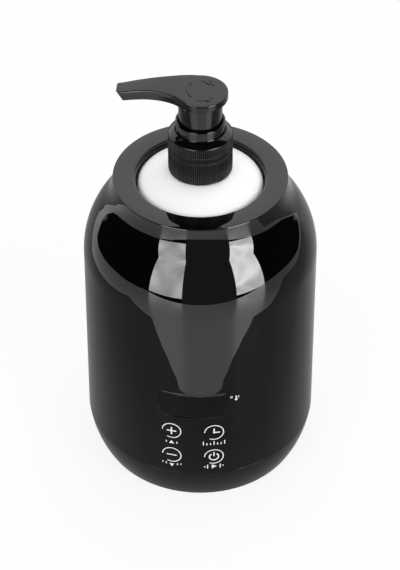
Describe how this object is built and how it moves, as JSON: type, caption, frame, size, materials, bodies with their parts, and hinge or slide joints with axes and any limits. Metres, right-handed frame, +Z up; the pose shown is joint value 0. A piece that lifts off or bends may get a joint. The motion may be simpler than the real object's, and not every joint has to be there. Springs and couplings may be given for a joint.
{
  "type": "massage oil warmer",
  "caption": "Bench-top oil warmer: domed cylindrical body with a display window, a heated cup inside, and a round bottle with a lock-down lotion pump standing in it.",
  "frame": {"origin": "centre of the footprint, on the surface that the feet stand on", "axes": "+Z up along the body's axis, -Y towards the control panel, -X along the pump's nozzle at rest"},
  "size_m": [0.1244, 0.1244, 0.2332],
  "materials": {
    "black_gloss": "gloss",
    "black_satin": "satin",
    "pump_black": "semi-gloss",
    "smoked_lens": "gloss",
    "cup_aluminium": "satin",
    "silicone": "matte",
    "heater_silicone": "matte",
    "felt": "matte",
    "nylon": "matte",
    "board_green": "satin",
    "component_black": "matte",
    "component_white": "matte",
    "spring_brass": "satin",
    "steel": "satin",
    "wire_red": "satin",
    "wire_white": "satin",
    "wire_black": "satin",
    "foot_rubber": "matte",
    "white_bottle": "semi-gloss",
    "natural_plastic": "satin"
  },
  "bodies": {
    "warmer": {"outer_shell": "black_gloss", "top_ring": "black_satin", "base_shell": "black_gloss", "display_window": "smoked_lens", "heating_cup": "cup_aluminium", "cup_gasket": "silicone", "heater_band": "heater_silicone", "insulation_sleeve": "felt", "cup_carrier": "nylon", "thermistor": "component_black", "thermal_fuse": "component_white", "control_board": "board_green", "display_module": "component_white", "touch_springs": "spring_brass", "microcontroller": "component_black", "power_transistor": "component_black", "buzzer": "component_black", "board_connectors": "component_white", "dc_jack": "black_satin", "jack_nut": "steel", "power_leads": "wire_red", "heater_leads": "wire_white", "sensor_leads": "wire_black", "feet": "foot_rubber", "base_screws": "steel", "ring_screws": "steel", "carrier_screws": "steel", "board_screws": "steel"},
    "bottle": {"bottle": "white_bottle"},
    "gasket": {"neck_gasket": "natural_plastic"},
    "pump": {"lock_collar": "pump_black", "pump_housing": "natural_plastic", "dip_tube": "natural_plastic", "pump_spring": "steel"},
    "closure": {"closure": "black_satin"},
    "plunger": {"piston": "natural_plastic"},
    "head": {"stem": "natural_plastic", "actuator_head": "pump_black"},
    "ball": {"check_ball": "steel"}
  },
  "joints": [
    {"name": "bottle_lift", "type": "slide", "parent": "warmer", "child": "bottle", "axis": [0, 0, 1], "range_m": [0, 0.16]},
    {"name": "pump_lift", "type": "slide", "parent": "bottle", "child": "gasket", "axis": [0, 0, 1], "range_m": [0, 0.16]},
    {"name": "thread_climb", "type": "slide", "parent": "gasket", "child": "pump", "axis": [0, 0, 1], "range_m": [0, 0.0053]},
    {"name": "closure_turn", "type": "hinge", "parent": "pump", "child": "closure", "pos_m": [0, 0, 0.19], "axis": [0, 0, 1], "range_deg": [0, 450]},
    {"name": "pump_press", "type": "slide", "parent": "pump", "child": "plunger", "axis": [0, 0, -1], "range_m": [0, 0.0125], "stiffness_N_per_m": 400, "springref_m": -0.015, "deforming": ["pump_spring"]},
    {"name": "head_turn", "type": "hinge", "parent": "plunger", "child": "head", "pos_m": [0, 0, 0.22], "axis": [0, 0, 1], "range_deg": [-90, 0]},
    {"name": "ball_lift", "type": "slide", "parent": "pump", "child": "ball", "axis": [0, 0, 1], "range_m": [0, 0.0015]}
  ],
  "couplings": [
    {"joint": "thread_climb", "follows": "closure_turn", "m_per_rad": 0.00067375}
  ]
}
